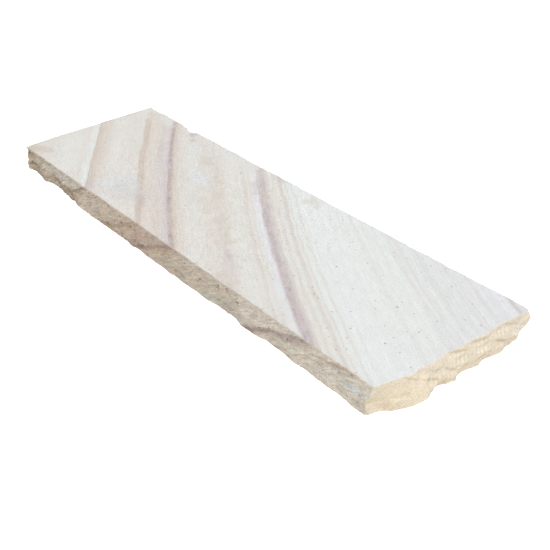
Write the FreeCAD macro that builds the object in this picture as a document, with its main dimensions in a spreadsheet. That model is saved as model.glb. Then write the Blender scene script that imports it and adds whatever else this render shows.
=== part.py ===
import FreeCAD, Part
import os
import Sketcher

# Sandstone garden edging: one strip of banded stone, sawn flat on its two broad faces and
# split along its four edges. The origin is at the middle of the bed, x runs along the strip
# and y from the front edge to the back one. The sawn face, on top, is length by width, and
# below it each split edge swells out a little past the arris.

# Driving dimensions in millimetres
SIZES = {
    "length": 560.0,
    "width": 150.0,
    "thickness": 25.0,
    "belly_height": 10.0,
    "front_belly": 4.0,
    "front_toe": 3.0,
    "back_belly": 2.5,
    "back_toe": 0.5,
    "left_belly": 3.0,
    "left_toe": 1.5,
    "right_belly": 2.5,
    "right_toe": 2.0,
    "back_corner_belly": 2.0,
    "back_corner_toe": 4.0,
    "nose_arris": 3.5,
    "nose_belly": 6.5,
    "nose_toe": 6.0,
    "nose_start": 15.0,
    "nose_near": 29.0,
    "nose_far": 43.0,
    "nose_end": 58.0,
    "front_corner_arris": 2.5,
    "front_corner_belly": 7.0,
    "front_corner_toe": 9.0,
    "corner_round": 3.0,
    "chip_radius": 70.0,
    "chip_past_end": 21.0,
    "chip_past_back": 40.0,
    "chip_below_bed": 33.0,
}

# Flake scars: the shallow round hollows that the splitting blows leave. Each has its place
# as a share of its edge, the height of its middle as a share of the thickness, how far its
# deepest point lies inside the sawn outline (below nought it stays outside) and its radius.
FRONT_SCARS = [
    (0.027, 0.05, 2.2, 45.0),
    (0.118, 0.05, 3.4, 45.0),
    (0.173, 0.10, -0.4, 50.0),
    (0.255, 0.85, -0.6, 110.0),
    (0.421, 0.10, -1.5, 60.0),
    (0.480, 0.80, -0.9, 70.0),
    (0.543, 0.05, -1.3, 45.0),
    (0.605, 0.85, -0.4, 60.0),
    (0.670, 0.10, 0.0, 110.0),
    (0.786, 0.05, -0.5, 120.0),
    (0.871, 0.15, -1.3, 100.0),
    (0.930, 0.80, -1.2, 60.0),
]
RIGHT_SCARS = [
    (0.355, 0.62, -0.6, 15.0),
    (0.378, 0.00, 0.8, 12.0),
    (0.513, 0.60, 1.4, 15.0),
    (0.553, 0.05, 2.3, 16.0),
    (0.667, 0.62, 1.2, 15.0),
    (0.700, 0.05, 2.8, 14.0),
    (0.800, 0.62, 2.0, 15.0),
    (0.853, 0.05, 3.6, 16.0),
    (0.920, 0.66, 1.8, 16.0),
]
BACK_SCARS = [
    (0.060, 0.20, 0.2, 60.0),
    (0.131, 1.00, 1.4, 20.0),
    (0.154, 1.00, 4.5, 14.0),
    (0.200, 0.30, -0.5, 80.0),
    (0.305, 0.75, -0.4, 70.0),
    (0.390, 0.10, 1.6, 60.0),
    (0.500, 0.50, -1.0, 90.0),
    (0.590, 0.05, 2.4, 50.0),
    (0.700, 0.70, -0.3, 80.0),
    (0.762, 1.00, 1.0, 10.0),
    (0.820, 0.15, 1.2, 70.0),
]
LEFT_SCARS = [
    (0.100, 0.20, 1.0, 40.0),
    (0.330, 0.75, -1.6, 40.0),
    (0.500, 0.10, 1.6, 35.0),
    (0.690, 0.60, 0.3, 30.0),
    (0.900, 0.15, 2.2, 40.0),
]


def cell(alias):
    return f"Sizes.{alias}"


HALF_LENGTH = f"{cell('length')} / 2"
HALF_WIDTH = f"{cell('width')} / 2"


def make_sheet(doc):
    sheet = doc.addObject("Spreadsheet::Sheet", "Sizes")
    for row, (alias, value) in enumerate(SIZES.items(), start=1):
        sheet.set(f"A{row}", alias)
        sheet.set(f"B{row}", str(value))
        sheet.setAlias(f"B{row}", alias)
    doc.recompute()
    return sheet


def origin_plane(body, role):
    return next(plane for plane in body.Origin.OriginFeatures if plane.Role == role)


def outline_points(front, right, back, left, nose, front_corner, back_corner):
    """Corners of one outline of the stone, anticlockwise from the front left, as expressions.

    Each argument says how far that side stands out past the sawn outline at this height,
    or how far that corner is set back along the end.
    """
    low = f"-({HALF_WIDTH} + {front})"
    high = f"{HALF_WIDTH} + {back}"
    nose_x = f"{HALF_LENGTH} + {nose}"
    end_x = f"{HALF_LENGTH} + {right}"
    corner_x = f"{HALF_LENGTH} - {back_corner}"
    rounding = cell("corner_round")
    return [
        (f"-({HALF_LENGTH} + {left})", low),
        (f"{HALF_LENGTH} - {front_corner}", low),
        (HALF_LENGTH, f"{cell('nose_start')} - {HALF_WIDTH}"),
        (nose_x, f"{cell('nose_near')} - {HALF_WIDTH}"),
        (nose_x, f"{cell('nose_far')} - {HALF_WIDTH}"),
        (end_x, f"{cell('nose_end')} - {HALF_WIDTH}"),
        (corner_x, f"{high} - {rounding}"),
        (f"{corner_x} - {rounding}", high),
        (f"-({HALF_LENGTH} + {left})", high),
    ]


def draw_outline(doc, body, name, height, points):
    """A closed sketch of straight runs at one height, with every corner bound to the sizes."""
    sketch = body.newObject("Sketcher::SketchObject", name)
    sketch.AttachmentSupport = [(origin_plane(body, "XY_Plane"), "")]
    sketch.MapMode = "FlatFace"
    sketch.setExpression("AttachmentOffset.Base.z", height)
    values = [tuple(sketch.evalExpression(part) for part in point) for point in points]
    corners = [FreeCAD.Vector(float(x), float(y), 0) for x, y in values]
    for start, end in zip(corners, corners[1:] + corners[:1]):
        sketch.addGeometry(Part.LineSegment(start, end), False)
    count = len(points)
    for line in range(count):
        after = (line + 1) % count
        sketch.addConstraint(Sketcher.Constraint("Coincident", line, 2, after, 1))
    for line, (place, corner) in enumerate(zip(points, corners)):
        for kind, expression, value in (("DistanceX", place[0], corner.x), ("DistanceY", place[1], corner.y)):
            bind_to_origin(sketch, kind, line, expression, value)
    doc.recompute()
    return sketch


def bind_to_origin(sketch, kind, line, expression, value):
    """Hold the start of a line at a signed distance from the origin."""
    if value < 0:
        index = sketch.addConstraint(Sketcher.Constraint(kind, line, 1, -1, 1, -value))
        sketch.setExpression(f"Constraints[{index}]", f"-({expression})")
    else:
        index = sketch.addConstraint(Sketcher.Constraint(kind, -1, 1, line, 1, value))
        sketch.setExpression(f"Constraints[{index}]", expression)


def split_block(doc, body):
    """The stone as it leaves the splitter: a ruled loft from the bed over the belly to the arris."""
    bed = draw_outline(doc, body, "bed_outline", "0", outline_points(
        cell("front_toe"), cell("right_toe"), cell("back_toe"), cell("left_toe"),
        cell("nose_toe"), cell("front_corner_toe"), cell("back_corner_toe")))
    belly = draw_outline(doc, body, "belly_outline", cell("belly_height"), outline_points(
        cell("front_belly"), cell("right_belly"), cell("back_belly"), cell("left_belly"),
        cell("nose_belly"), cell("front_corner_belly"), cell("back_corner_belly")))
    arris = draw_outline(doc, body, "arris_outline", cell("thickness"), outline_points(
        "0", "0", "0", "0", cell("nose_arris"), cell("front_corner_arris"), "0"))
    loft = body.newObject("PartDesign::AdditiveLoft", "split_block")
    loft.Profile = bed
    loft.Sections = [belly, arris]
    loft.Ruled = True
    doc.recompute()
    return loft


def scar(doc, body, name, radius, centre):
    """One round hollow, cut by a ball whose centre is given as three expressions."""
    ball = body.newObject("PartDesign::SubtractiveSphere", name)
    ball.setExpression("Radius", radius)
    for axis, expression in zip("xyz", centre):
        ball.setExpression(f"Placement.Base.{axis}", expression)
    doc.recompute()
    return ball


def split_edges(doc, body):
    """Flake scars along the four split edges."""
    for side, sign, scars in (("front", "-", FRONT_SCARS), ("back", "", BACK_SCARS)):
        for number, (along, height, inset, radius) in enumerate(scars, start=1):
            scar(doc, body, f"{side}_scar_{number:02d}", str(radius), (
                f"{cell('length')} * {along - 0.5:.3f}",
                f"{sign}({HALF_WIDTH} - ({inset}) + {radius})",
                f"{cell('thickness')} * {height}"))
    for side, sign, scars in (("left", "-", LEFT_SCARS), ("right", "", RIGHT_SCARS)):
        for number, (along, height, inset, radius) in enumerate(scars, start=1):
            scar(doc, body, f"{side}_scar_{number:02d}", str(radius), (
                f"{sign}({HALF_LENGTH} - ({inset}) + {radius})",
                f"{cell('width')} * {along - 0.5:.3f}",
                f"{cell('thickness')} * {height}"))


def corner_chip(doc, body):
    """The chip that has taken the lower back corner off the right end."""
    return scar(doc, body, "corner_chip", cell("chip_radius"), (
        f"{HALF_LENGTH} + {cell('chip_past_end')}",
        f"{HALF_WIDTH} + {cell('chip_past_back')}",
        f"-{cell('chip_below_bed')}"))


def make_stone(doc):
    body = doc.addObject("PartDesign::Body", "edging_stone")
    body.Label = "edging_stone"
    split_block(doc, body)
    split_edges(doc, body)
    corner_chip(doc, body)
    return body


def check(doc, body):
    """Stop if any feature failed or the stone isn't one sound solid."""
    for item in doc.Objects:
        if "Invalid" in item.State or "Error" in item.State:
            raise RuntimeError(f"{item.Label} failed: {item.State}")
    if body.Shape.isNull() or not body.Shape.isValid():
        raise RuntimeError(f"{body.Label} has no valid shape")
    if len(body.Shape.Solids) != 1:
        raise RuntimeError(f"{body.Label} is {len(body.Shape.Solids)} solids")


def main():
    doc = FreeCAD.newDocument("garden_edging")
    make_sheet(doc)
    stone = make_stone(doc)
    doc.recompute()
    check(doc, stone)
    os.makedirs("parts", exist_ok=True)
    stone.Shape.exportStep(f"parts/{stone.Label}.step")
    box = stone.Shape.BoundBox
    print(f"{stone.Label}: {stone.Shape.Volume / 1000:.0f} cm3, "
          f"x {box.XMin:.1f} to {box.XMax:.1f}, y {box.YMin:.1f} to {box.YMax:.1f}, "
          f"z {box.ZMin:.1f} to {box.ZMax:.1f}")


main()
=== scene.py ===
import math
import random

import bmesh
import bpy
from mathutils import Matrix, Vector, noise
from mathutils.bvhtree import BVHTree
from mathutils.kdtree import KDTree


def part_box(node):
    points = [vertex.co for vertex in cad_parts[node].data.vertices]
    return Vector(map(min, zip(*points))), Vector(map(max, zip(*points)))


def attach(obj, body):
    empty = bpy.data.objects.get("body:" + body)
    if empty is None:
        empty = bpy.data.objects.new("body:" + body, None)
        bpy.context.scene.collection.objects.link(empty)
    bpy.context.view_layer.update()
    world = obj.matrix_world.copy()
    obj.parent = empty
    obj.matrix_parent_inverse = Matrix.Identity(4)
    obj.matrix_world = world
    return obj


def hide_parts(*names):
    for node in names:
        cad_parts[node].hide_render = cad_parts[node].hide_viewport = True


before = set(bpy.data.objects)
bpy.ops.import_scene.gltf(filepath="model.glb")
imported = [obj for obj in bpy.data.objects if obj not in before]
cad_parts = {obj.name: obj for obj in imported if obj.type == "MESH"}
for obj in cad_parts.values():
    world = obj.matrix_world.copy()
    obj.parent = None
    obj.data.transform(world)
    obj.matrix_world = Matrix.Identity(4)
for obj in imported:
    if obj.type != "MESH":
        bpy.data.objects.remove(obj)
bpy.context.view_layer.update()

# Sizes in millimetres. The mesh is made in millimetres and scaled once, at the end. It starts as a
# rectangle that stands CLEAR of the stone, in edges SPACING long, and ends KEEP_IN within its box.
MM = 0.001
STONE = "edging_stone"
LOW, HIGH = (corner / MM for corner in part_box(STONE))
THICK = HIGH.z
CLEAR = 12.0
HALF_LENGTH, HALF_WIDTH = 280.0, 75.0
SPACING = 0.9
ARRIS = 0.45
KEEP_IN = 0.05
CAST_CLEAR = 0.15
# The chips of the arrises, and the angle past which an edge of the mesh is drawn sharp
CHIPS, CHIP_SEED = 80, 7
SHARP_ANGLE = math.radians(38)

# Heights of the rings of the split edges, closer together near the two arrises
HEIGHTS = [0.0, 0.3, 0.8, 1.5]
HEIGHTS += [2.4 + 0.94 * step for step in range(22)]
HEIGHTS += [23.0, 23.7, 24.25, 24.65, 25.0]
# Rings across the two sawn faces, as distances in from the arris
RIMS = [ARRIS, 1.0, 2.0, 4.5]

# The bedding: its planes cross the top in gently curved lines and dip forwards down the edges
BED_SLOPE = 0.57
BED_CURVE = 0.00025
BED_DIP = 1.75
BED_STEEPNESS = 2.0945
ALONG = Vector((0.8688, -0.4952, 0.0))
DOWN = Vector((-0.4137, -0.7259, -0.5495))


def smooth(value, start, end):
    """0 before start, 1 after end, and an S curve between."""
    share = min(max((value - start) / (end - start), 0.0), 1.0)
    return share * share * (3 - 2 * share)


def bedding(p):
    """Where a point lies across the bedding, as the millimetres that the top face shows."""
    return p.y + BED_SLOPE * p.x - BED_CURVE * p.x * p.x + BED_DIP * (THICK - p.z)


def bed_frame(p):
    """A point as distances along, down and across the bedding."""
    return Vector((ALONG.dot(p), DOWN.dot(p), bedding(p) / BED_STEEPNESS))


# The split edges


def cad_surface():
    """The CAD solid as a surface to cast rays at, its loose triangles merged."""
    bm = bmesh.new()
    bm.from_mesh(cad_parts[STONE].data)
    bmesh.ops.remove_doubles(bm, verts=bm.verts, dist=1e-6)
    bmesh.ops.scale(bm, vec=(1 / MM,) * 3, verts=bm.verts)
    tree = BVHTree.FromBMesh(bm)
    bm.free()
    return tree


# Ledges: where the split runs out along the bedding and the stone above overhangs a little.
# Each has its edge, its two ends as (place along the edge, height), how far the stone stands
# proud above it, how deep it is cut below it, and how far above and below that reaches.
LEDGES = [
    ("front", (-262, 15.5), (-200, 13.5), 0.45, 0.5, 7, 5),
    ("front", (-206, 13.0), (-170, 12.6), 0.6, 0.7, 7, 4),
    ("front", (-174, 12.5), (-151, 24.5), 0.7, 0.8, 6, 4),
    ("front", (-112, 1.0), (-46, 23.5), 0.2, 0.3, 3, 4),
    ("front", (-66, 2.0), (-20, 14.5), 0.2, 0.4, 3, 4),
    ("front", (-20, 14.5), (14, 24.5), 0.2, 0.4, 3, 4),
    ("front", (60, 7.0), (96, 4.0), 0.3, 0.5, 3, 3),
    ("front", (122, 1.0), (160, 12.5), 0.2, 0.4, 3, 4),
    ("front", (158, 12.0), (178, 19.5), 0.2, 0.4, 3, 4),
    ("front", (176, 19.0), (206, 24.5), 0.2, 0.4, 3, 4),
    ("front", (212, 18.0), (256, 23.0), 0.4, 0.5, 4, 4),
    ("right", (-54, 25.5), (-36, 17.8), 0.3, 0.35, 5, 4),
    ("right", (-38, 18.2), (-3, 0.8), 0.5, 0.35, 8, 4),
    ("right", (-16, 16.5), (-1, 8.0), 0.35, 0.45, 4, 4),
    ("right", (-1, 7.5), (18, 8.5), 0.6, 0.5, 9, 3),
    ("right", (19, 8.0), (37, 8.8), 0.6, 0.5, 9, 3),
    ("right", (-11, 25.5), (10, 20.5), 0.35, 0.45, 4, 4),
    ("right", (10, 24.0), (34, 21.5), 0.3, 0.4, 4, 4),
    ("right", (36, 15.5), (52, 9.0), 0.5, 0.45, 6, 4),
    ("right", (46, 24.5), (72, 15.5), 0.3, 0.3, 4, 4),
]
# Scoops of the right end, leaning along its ledges: middle along the end and height, half length,
# half width, depth and how strongly they are ribbed
SCOOPS = [
    (3.0, 14.2, 12.0, 5.6, 1.1, 1.0),
    (25.5, 14.5, 11.5, 5.4, 1.1, 1.0),
    (-18.0, 10.5, 17.0, 5.5, 0.7, 0.5),
    (45.0, 18.5, 9.5, 4.2, 0.8, 0.7),
    (14.0, 5.0, 11.0, 3.2, 0.5, 0.2),
    (39.0, 5.8, 12.0, 3.4, 0.5, 0.2),
    (64.0, 19.5, 8.0, 4.5, 0.7, 0.1),
]
# Their rise in degrees, and how far apart their ribs are
SCOOP_RISE = -27
SCOOP_LEAN = math.radians(SCOOP_RISE)
RIB_GAP = 3.7


def on_edge(name, p):
    """A point's place along one of the split edges and how surely it belongs to that edge."""
    if name == "front":
        return p.x, smooth(-p.y, 60, 68)
    if name == "right":
        return p.y, smooth(p.x, 268, 274)
    if name == "nose":
        return p.y, smooth(p.x, 271.5, 274.5)
    if name == "left":
        return p.y, smooth(-p.x, 270, 276)
    return p.x, smooth(p.y, 60, 68)


def ledges(p):
    """How far the ledges push a point out (above them) or in (below them)."""
    total = 0.0
    for edge, start, end, proud, cut, above, below in LEDGES:
        place, surely = on_edge(edge, p)
        if surely <= 0:
            continue
        run, rise = end[0] - start[0], end[1] - start[1]
        long = math.hypot(run, rise)
        along = ((place - start[0]) * run + (p.z - start[1]) * rise) / long
        if along < -4 or along > long + 4:
            continue
        over = ((p.z - start[1]) * run - (place - start[0]) * rise) / long
        over += 0.7 * noise.noise(Vector((along / 5, start[0], 0)))
        ends = smooth(along, -3, 5) * (1 - smooth(along, long - 5, long + 3))
        if over >= 0:
            push = proud * max(1 - over / above, 0.0)
        else:
            push = -cut * smooth(-over, 0, 0.9) * max(1 + over / below, 0.0)
        total += push * ends * surely
    return total


def scoops(p):
    """Hollows of the right end with fine upright ribs in them."""
    place, surely = on_edge("right", p)
    if surely <= 0:
        return 0.0
    total = 0.0
    for middle, height, half_long, half_wide, depth, ribbed in SCOOPS:
        run, rise = place - middle, p.z - height
        along = (run * math.cos(SCOOP_LEAN) + rise * math.sin(SCOOP_LEAN)) / half_long
        over = (rise * math.cos(SCOOP_LEAN) - run * math.sin(SCOOP_LEAN)) / half_wide
        far = math.hypot(along, over)
        if far < 1:
            bowl = 1 - far * far
            ribs = math.sin((place + 0.15 * p.z + 0.3 * noise.noise(p / 6)) * 2 * math.pi / RIB_GAP)
            total -= 0.18 * depth * bowl * (1 + 0.3 * over) + 0.14 * ribbed * ribs * bowl
    return total * surely


# Trims: long swells and hollows of an edge. Each has its edge, the heights between which it holds,
# and points along the edge with how far the stone stands out at each.
TRIMS = [
    ("front", 8, 21.5, [(-290, -2.4), (-262, -0.4), (-258, 0.0)]),
    ("front", -2, 4, [(-290, -1.0), (-278, -0.5), (-274, 0.0)]),
    ("front", -2, 7, [
        (-274, 0.0), (-268, 0.6), (-264, 1.3), (-257, 1.5), (-253, 1.3), (-248, 0.0), (-244, -0.9),
        (-238, -1.2), (-231, -0.8), (-224, 0.7), (-215, 1.5), (-207, 1.7), (-204, 1.8), (-200, 0.9),
        (-197, -0.2), (-194, -1.3), (-190, -0.4), (-186, 0.8), (-182, 1.7), (-177, 0.2), (-165, 0.1),
        (-158, 0.9), (-144, 0.9), (-131, 1.0), (-119, 0.3), (-105, 0.0),
    ]),
    ("front", -2, 4, [
        (-62, 0.0), (-55, 0.9), (-45, 1.1), (-38, 1.4), (-32, 0.7), (-26, 0.3), (-15, 0.5), (-4, 0.2),
        (4, 0.2), (10, 0.9), (18, 1.3), (24, 2.0), (29, 2.2), (33, 1.5), (38, 0.4), (42, 0.0), (64, 0.0),
        (70, 0.2), (76, 1.2), (82, 1.1), (86, 1.3), (95, 1.4), (100, 1.5), (105, 1.2), (110, 0.9),
        (115, 1.1), (122, 2.4), (126, 1.6), (132, 0.8), (137, 1.2), (145, 1.5), (152, 0.9), (156, 0.7),
        (160, 1.4), (165, 1.3), (170, 1.0), (176, 0.5), (184, 0.2), (190, 0.6), (201, 0.6), (210, 1.4),
        (216, 1.8), (222, 0.9), (228, 0.4), (240, -0.3), (250, 0.6), (257, 1.9), (264, 3.1), (268, 1.8),
        (271, 0.1), (274, -0.2), (277, -0.2),
    ]),
    ("left", 5, 21.5, [(-85, -1.6), (-52, -0.3), (-48, 0.0)]),
    ("left", 16, 27, [(-80, 0.3), (-66, 1.7), (0, 2.0), (55, 2.4), (70, 2.0), (80, 0.6)]),
    ("left", 21, 27, [
        (-66, 0.0), (-53, 1.0), (-38, 1.6), (-24, 1.2), (0, 0.9), (20, 1.1), (32, 0.6), (50, 0.0),
    ]),
    ("left", -2, 6, [(-80, 0.8), (-66, 0.6), (-58, 0.0)]),
    ("nose", 3, 10, [(-80, -0.8), (-72, -0.6), (-64, -0.2), (-56, 0.0)]),
    ("nose", 5, 14, [(-80, -0.7), (-72, -0.5), (-64, -0.2), (-56, 0.0)]),
    ("nose", 8, 18, [(-80, -0.6), (-72, -0.4), (-64, -0.1), (-56, 0.0)]),
    ("right", 17, 27, [
        (-42, 0.0), (-38.5, -0.2), (-38, -2.4), (-30, -1.2), (-23, 1.3), (-15, 0.9), (-8, 0.3),
        (-3.6, 0.7), (3, 1.5), (11.5, 0.6), (19, 0.3), (26, 1.4), (31, 1.2), (37, -0.4), (40, -0.9),
        (52, -1.1), (61, -0.4), (67, -0.9), (72, 0.2), (78, 0.2),
    ]),
    ("right", -2, 7, [
        (-79, 2.4), (-75, 3.2), (-72, 0.6), (-66, 0.0), (-61, 1.9), (-52, 1.2), (-44, 0.6), (-38, 2.5),
        (-34, 1.0), (-28, -0.4), (-24.5, 1.6), (-20, 0.7), (-14, 0.7), (-8.4, 1.3), (-3.6, 2.8),
        (-1, 1.0), (4.5, 1.2), (10, 1.2), (16.5, 0.7), (23.3, 1.5), (30, 0.6), (35, 0.6), (42, 1.8),
        (46, 2.4), (50, 1.7), (57, -0.4), (61, 1.2), (67, 3.4), (78, 3.2),
    ]),
    ("right", 4, 17, [
        (-34, 0.0), (-24, 0.8), (-16, 1.0), (-8, 0.7), (-3, 0.8), (3, 1.2), (10, 0.9), (16, 0.7),
        (22, 1.0), (27, 1.2), (34, 0.8), (42, 0.6), (50, 0.5), (58, 0.0),
    ]),
    ("right", 9, 19, [
        (-32, 0.0), (-22, 0.8), (-12, 0.3), (-6, 0.6), (2, 1.7), (9, 0.6), (14, 0.3), (18, 0.7),
        (25, 1.6), (32, 0.6), (37, 0.6), (45, 1.2), (52, 0.6), (56, 0.0),
    ]),
    ("right", 3, 10, [(50, 0.0), (57, 1.2), (61, 2.0), (64, 0.5), (66, 0.0)]),
    ("right", 7, 13, [(58, 0.0), (64, 1.2), (70, 3.3), (75, 3.5)]),
    ("right", 13, 20, [(58, 0.0), (64, 1.2), (70, 2.8), (75, 1.4)]),
]

# The back arris wavers too. Its swell has three equal shares, which start at these heights.
BACK_SWELL = [
    (-283, 0.2), (-270, 1.6), (-255, 1.4), (-235, 2.0), (-220, 1.6), (-208, 1.3), (-199, 1.7),
    (-188, 0.6), (-172, 1.1), (-150, 0.8), (-140, 0.4), (-128, 1.1), (-107, 0.6), (-90, 0.2), (-66, 0.0),
    (-50, 0.6), (-36, 1.0), (-17, 0.9), (0, 0.4), (12, 1.1), (28, 0.7), (46, 0.1), (63, 0.9), (79, 0.6),
    (96, 0.3), (110, 1.1), (128, 0.8), (145, 1.1), (162, 0.7), (176, 1.2), (192, 0.7), (208, 1.5),
    (228, 1.1), (242, 1.7), (264, 1.6), (273, 1.6), (279, 1.0), (286, 0.2),
]
BACK_STEPS = (12, 16, 20)
TRIMS += [("back", low, 27, [(x, push / len(BACK_STEPS)) for x, push in BACK_SWELL])
          for low in BACK_STEPS]


def trims(p):
    """How far the trims push a point out."""
    total = 0.0
    for edge, low, high, points in TRIMS:
        place, surely = on_edge(edge, p)
        if surely <= 0 or not points[0][0] <= place <= points[-1][0]:
            continue
        for (start, first), (end, last) in zip(points, points[1:]):
            if start <= place <= end:
                push = first + (last - first) * (place - start) / (end - start)
        total += push * surely * smooth(p.z, low, low + 2) * (1 - smooth(p.z, high, high + 3))
    return total


# The larger pits of the front edge: place along it, height, radius and depth
PITS = [
    (-101, 6.5, 2.4, 1.3), (-79, 20.5, 2.0, 1.0), (-75, 16, 1.8, 1.0), (-59, 17.5, 1.8, 0.9),
    (-120, 10, 2.0, 1.0), (-74, 5, 2.2, 1.2), (84, 18, 2.4, 1.4), (97, 22, 1.8, 1.3), (113, 17, 1.7, 0.9),
    (53, 10.5, 1.6, 0.9), (254, 22.5, 1.4, 0.9), (266, 13.5, 1.2, 0.5), (-243, 7, 2.2, 1.0),
    (155, 14, 1.4, 0.8), (-235, 15, 2.2, 0.35), (-190, 14, 2.0, 0.7), (-258, 11, 2.2, 0.8),
]
# The small pits
PIT_SPACING, PIT_RADIUS, PIT_DEPTH = 8.5, 1.6, 0.7


def pits(p):
    """How far the pits cut in: the larger ones, and small ones strewn over all the split edges."""
    total = 0.0
    place, surely = on_edge("front", p)
    for spot, height, radius, depth in PITS:
        far = math.hypot((place - spot) / 1.3, p.z - height) / radius
        if far < 1:
            total -= depth * (1 - far * far) * surely
    spread, cells = noise.voronoi(p / PIT_SPACING)
    far = spread[0] * PIT_SPACING
    if far < PIT_RADIUS and noise.cell(cells[0] * 13.7) > 0.3:
        total -= PIT_DEPTH * (1 - (far / PIT_RADIUS) ** 2) * (1 - 0.6 * on_edge("right", p)[1])
    return total


# Two sizes of break face: size, tilt and seed
BREAKS = [(17.0, 1.3, 3.7), (8.0, 0.45, 11.3)]


def facets(p):
    """Small tilted break faces, longer along the bedding than across it."""
    bed = bed_frame(p)
    total = 0.0
    for size, tilt, seed in BREAKS:
        long, deep = size * 1.5, size * 0.62
        shift = Vector((seed,) * 3)
        spot = Vector((bed.x / long, bed.y / long, bed.z / deep)) + shift
        cells = noise.voronoi(spot)[1]
        lean = noise.cell_vector(cells[0] * 7.31 + shift)
        total += tilt * ((spot - cells[0]).dot(lean) + 0.25 * lean.x)
    return total


# Faint arcs round the blow that split the nose: its place along the end and height, and their gap
ARC_MIDDLE = (-50, 20)
ARC_GAP = 2.8


def relief(p):
    """How far the split surface stands out from the CAD surface at a point, in millimetres."""
    bed = bed_frame(p)
    front, end = on_edge("front", p)[1], on_edge("right", p)[1]
    nose = end * smooth(-p.y, 22, 32)
    near_arris = smooth(THICK - p.z, 0.0, 5.0)
    west = front * smooth(-p.x, 40, 160)
    broad = facets(p) * (1 - (0.7 - 0.25 * west) * front) * (1 - 0.8 * end)
    broad += 0.55 * noise.fractal(Vector((bed.x / 26, bed.y / 26, bed.z / 8)), 1.0, 2.0, 4)
    fine = 0.34 * noise.noise(Vector((bed.x / 14, bed.y / 14, bed.z / 1.9)))
    fine += (0.36 + 0.2 * west) * noise.noise(p / 3.4)
    fine += (0.30 + 0.2 * west) * noise.noise(p / 1.9)
    arcs = 0.0
    if nose > 0:
        far = math.hypot(p.y - ARC_MIDDLE[0], p.z - ARC_MIDDLE[1])
        arcs = 0.3 * math.sin(far * 2 * math.pi / ARC_GAP) * smooth(far, 12, 20)
        arcs = arcs * smooth(p.y, -46, -38) * nose
    rough = (broad + fine) * (1 - 0.5 * end) * (0.55 + 0.45 * near_arris) + arcs + pits(p) * near_arris
    return rough + (ledges(p) + scoops(p)) * (0.35 + 0.65 * near_arris) + trims(p) - 0.3


def outer_ring(bm):
    """A rectangle of short edges standing clear of the stone all round."""
    wide, deep = HALF_LENGTH + CLEAR, HALF_WIDTH + CLEAR
    corners = [bm.verts.new((x * wide, y * deep, 0)) for x, y in ((-1, -1), (1, -1), (1, 1), (-1, 1))]
    sides = [bm.edges.new((start, end)) for start, end in zip(corners, corners[1:] + corners[:1])]
    for side in sides:
        bmesh.ops.subdivide_edges(bm, edges=[side], cuts=round(side.calc_length() / SPACING) - 1)
    return bm.edges[:]


def grow(bm, ring, height, rim_layer, rim):
    """Extrude a ring of edges to the next height, or to the next rim across a sawn face."""
    grown = bmesh.ops.extrude_edge_only(bm, edges=ring)["geom"]
    verts = {item for item in grown if isinstance(item, bmesh.types.BMVert)}
    for vert in verts:
        vert.co.z = height
        vert[rim_layer] = rim
    return [item for item in grown if isinstance(item, bmesh.types.BMEdge) and set(item.verts) <= verts]


def settle(bm, tree, rim_layer):
    """Move every vertex of the rings in from the outer rectangle on to the broken stone."""
    core = Vector((HALF_LENGTH - CLEAR, HALF_WIDTH - CLEAR, 0))
    for vert in bm.verts:
        outer = Vector((vert.co.x, vert.co.y, 0))
        inner = Vector((min(max(outer.x, -core.x), core.x), min(max(outer.y, -core.y), core.y), 0))
        inward = (inner - outer).normalized()
        level = min(max(vert.co.z, CAST_CLEAR), THICK - CAST_CLEAR)
        hit = tree.ray_cast(outer + Vector((0, 0, level)), inward)[0]
        hit.z = vert.co.z
        place = hit - inward * relief(hit) + inward * vert[rim_layer]
        vert.co = [min(max(value, low + KEEP_IN), high - KEEP_IN)
                   for value, low, high in zip(place, LOW, HIGH)]
        vert.co.z = hit.z


def nibble(bm, rim_layer, draw):
    """Small chips along the arrises: balls that push the stone in where they overlap it."""
    bm.verts.ensure_lookup_table()
    near = KDTree(len(bm.verts))
    for vert in bm.verts:
        near.insert(vert.co, vert.index)
    near.balance()
    arris = [vert for vert in bm.verts if abs(vert.co.z - THICK) < 0.01 or vert.co.z < 0.01]
    for _ in range(CHIPS):
        spot = arris[draw.randrange(len(arris))].co.copy()
        out = Vector((spot.x / HALF_LENGTH, spot.y / HALF_WIDTH, 0))
        if abs(out.x) > abs(out.y):
            out = Vector((math.copysign(1, out.x), 0, 0))
        else:
            out = Vector((0, math.copysign(1, out.y), 0))
        radius = draw.uniform(1.2, 2.8)
        depth = draw.uniform(0.15, 0.45)
        lift = math.copysign(radius * draw.uniform(0.55, 0.9), spot.z - THICK / 2)
        centre = spot + out * math.sqrt(max((radius - depth) ** 2 - (abs(lift) - depth * 0.4) ** 2, 0.04))
        centre.z += lift
        for _, index, _ in near.find_range(centre, radius):
            vert = bm.verts[index]
            away = vert.co - centre
            if away.length < radius and vert[rim_layer] < RIMS[-1]:
                vert.co = centre + away.normalized() * radius


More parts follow.
